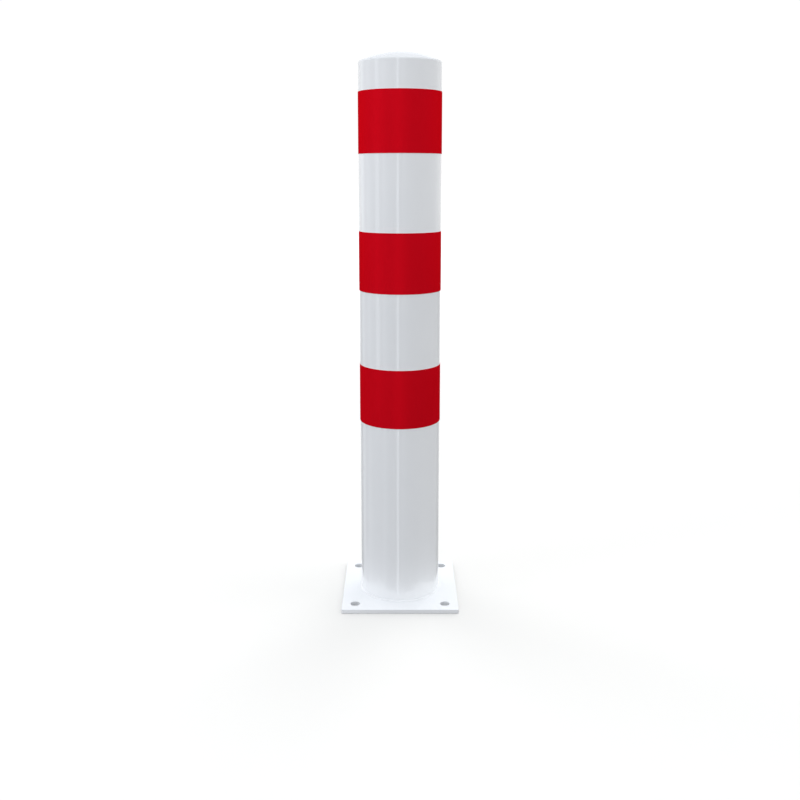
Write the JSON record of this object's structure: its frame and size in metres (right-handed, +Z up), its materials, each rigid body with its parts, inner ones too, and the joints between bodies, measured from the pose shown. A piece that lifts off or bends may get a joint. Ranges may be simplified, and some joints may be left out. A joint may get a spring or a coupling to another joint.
{
  "type": "safety bollard",
  "caption": "Surface-mounted steel safety bollard: a white round post with a domed cap and red reflective bands, welded to a square base plate with anchor holes.",
  "frame": {"origin": "centre of the base plate's underside, where the bollard stands on the ground", "axes": "+Z up along the post, X and Y along the base plate's sides; the laps of the red bands face +Y"},
  "size_m": [0.22, 0.22, 1.0284],
  "materials": {
    "powder_coat": "glossy white powder coat on steel",
    "red_sheet": "satin red reflective sheet"
  },
  "bodies": {
    "root": {"base_plate": "powder_coat", "post_tube": "powder_coat", "foot_weld": "powder_coat", "top_cap": "powder_coat", "cap_weld": "powder_coat", "red_band_top": "red_sheet", "red_band_middle": "red_sheet", "red_band_bottom": "red_sheet"}
  },
  "joints": []
}
